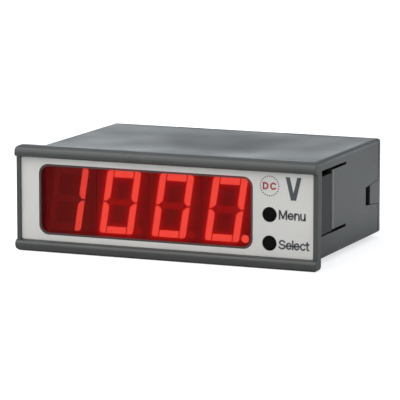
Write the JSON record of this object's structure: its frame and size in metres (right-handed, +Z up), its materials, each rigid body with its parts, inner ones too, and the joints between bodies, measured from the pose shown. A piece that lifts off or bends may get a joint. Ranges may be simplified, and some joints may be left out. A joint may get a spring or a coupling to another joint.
{
  "type": "digital panel meter",
  "caption": "Digital panel meter with a wide bezel, red seven-segment display, two small keys, a latched rear cover and rear screw terminals.",
  "frame": {"origin": "the middle of the bezel's rear plane, which bears on the panel", "axes": "+X to the right seen from the front, +Y back into the panel, +Z up"},
  "size_m": [0.072, 0.0569, 0.024],
  "materials": {
    "case": "fine satin moulded",
    "cover": "fine satin moulded",
    "foil": "satin printed foil",
    "filter": "clear red acrylic",
    "button": "matt",
    "switch_stem": "moulded",
    "switch_body": "moulded",
    "digit_face": "matt",
    "lit": "lit, diffusing",
    "unlit": "diffusing",
    "board": "solder resist",
    "header": "moulded",
    "gold_plate": "plated",
    "chip": "moulded",
    "tinned": "tinned",
    "can": "drawn can",
    "potting": "moulded case",
    "sleeve": "shrunk sleeve",
    "resistor": "lacquer",
    "terminal": "moulded",
    "cage": "bent and plated",
    "screw": "zinc plated"
  },
  "bodies": {
    "root": {"housing": "case", "front_foil": "foil", "display_filter": "filter", "switch_menu": "switch_body", "switch_select": "switch_body", "digit_block_1": "digit_face", "digit_block_2": "digit_face", "digit_block_3": "digit_face", "digit_block_4": "digit_face", "lit_segments_1": "lit", "lit_segments_2": "lit", "lit_segments_3": "lit", "lit_segments_4": "lit", "dark_segments_1": "unlit", "dark_segments_2": "unlit", "dark_segments_3": "unlit", "dark_segments_4": "unlit", "digit_pins": "tinned", "display_board": "board", "link_header": "header", "link_pins": "gold_plate", "main_board": "board", "controller_chip": "chip", "controller_leads": "tinned", "amplifier_chip": "chip", "amplifier_leads": "tinned", "crystal": "can", "supply_module": "potting", "supply_module_pins": "tinned", "capacitor_1": "sleeve", "capacitor_2": "sleeve", "capacitor_leads": "tinned", "divider_resistor_1": "resistor", "divider_resistor_2": "resistor", "divider_resistor_3": "resistor", "divider_leads": "tinned", "supply_terminals": "terminal", "input_terminals": "terminal", "contact_bar_1": "tinned", "contact_bar_2": "tinned", "contact_bar_3": "tinned", "contact_bar_4": "tinned", "rear_cover": "cover"},
    "button_menu": {"button_menu": "button", "plunger_menu": "switch_stem"},
    "button_select": {"button_select": "button", "plunger_select": "switch_stem"},
    "clamp_cage_1": {"clamp_cage_1": "cage"},
    "terminal_screw_1": {"terminal_screw_1": "screw"},
    "clamp_cage_2": {"clamp_cage_2": "cage"},
    "terminal_screw_2": {"terminal_screw_2": "screw"},
    "clamp_cage_3": {"clamp_cage_3": "cage"},
    "terminal_screw_3": {"terminal_screw_3": "screw"},
    "clamp_cage_4": {"clamp_cage_4": "cage"},
    "terminal_screw_4": {"terminal_screw_4": "screw"}
  },
  "joints": [
    {"name": "button_menu_press", "type": "slide", "parent": "root", "child": "button_menu", "axis": [0, 1, 0], "range_m": [0, 0.0003], "stiffness_N_per_m": 4000, "springref_m": -0.0001},
    {"name": "button_select_press", "type": "slide", "parent": "root", "child": "button_select", "axis": [0, 1, 0], "range_m": [0, 0.0003], "stiffness_N_per_m": 4000, "springref_m": -0.0001},
    {"name": "cage_1_rise", "type": "slide", "parent": "root", "child": "clamp_cage_1", "axis": [0, 0, 1], "range_m": [0, 0.0027]},
    {"name": "screw_1_turn", "type": "hinge", "parent": "root", "child": "terminal_screw_1", "pos_m": [-0.02054, 0.0493, 0], "axis": [0, 0, -1], "range_deg": [0, 1944]},
    {"name": "cage_2_rise", "type": "slide", "parent": "root", "child": "clamp_cage_2", "axis": [0, 0, 1], "range_m": [0, 0.0027]},
    {"name": "screw_2_turn", "type": "hinge", "parent": "root", "child": "terminal_screw_2", "pos_m": [-0.01546, 0.0493, 0], "axis": [0, 0, -1], "range_deg": [0, 1944]},
    {"name": "cage_3_rise", "type": "slide", "parent": "root", "child": "clamp_cage_3", "axis": [0, 0, 1], "range_m": [0, 0.0027]},
    {"name": "screw_3_turn", "type": "hinge", "parent": "root", "child": "terminal_screw_3", "pos_m": [0.01546, 0.0493, 0], "axis": [0, 0, -1], "range_deg": [0, 1944]},
    {"name": "cage_4_rise", "type": "slide", "parent": "root", "child": "clamp_cage_4", "axis": [0, 0, 1], "range_m": [0, 0.0027]},
    {"name": "screw_4_turn", "type": "hinge", "parent": "root", "child": "terminal_screw_4", "pos_m": [0.02054, 0.0493, 0], "axis": [0, 0, -1], "range_deg": [0, 1944]}
  ],
  "couplings": [
    {"joint": "screw_1_turn", "follows": "cage_1_rise", "rad_per_m": 12566},
    {"joint": "screw_2_turn", "follows": "cage_2_rise", "rad_per_m": 12566},
    {"joint": "screw_3_turn", "follows": "cage_3_rise", "rad_per_m": 12566},
    {"joint": "screw_4_turn", "follows": "cage_4_rise", "rad_per_m": 12566}
  ]
}
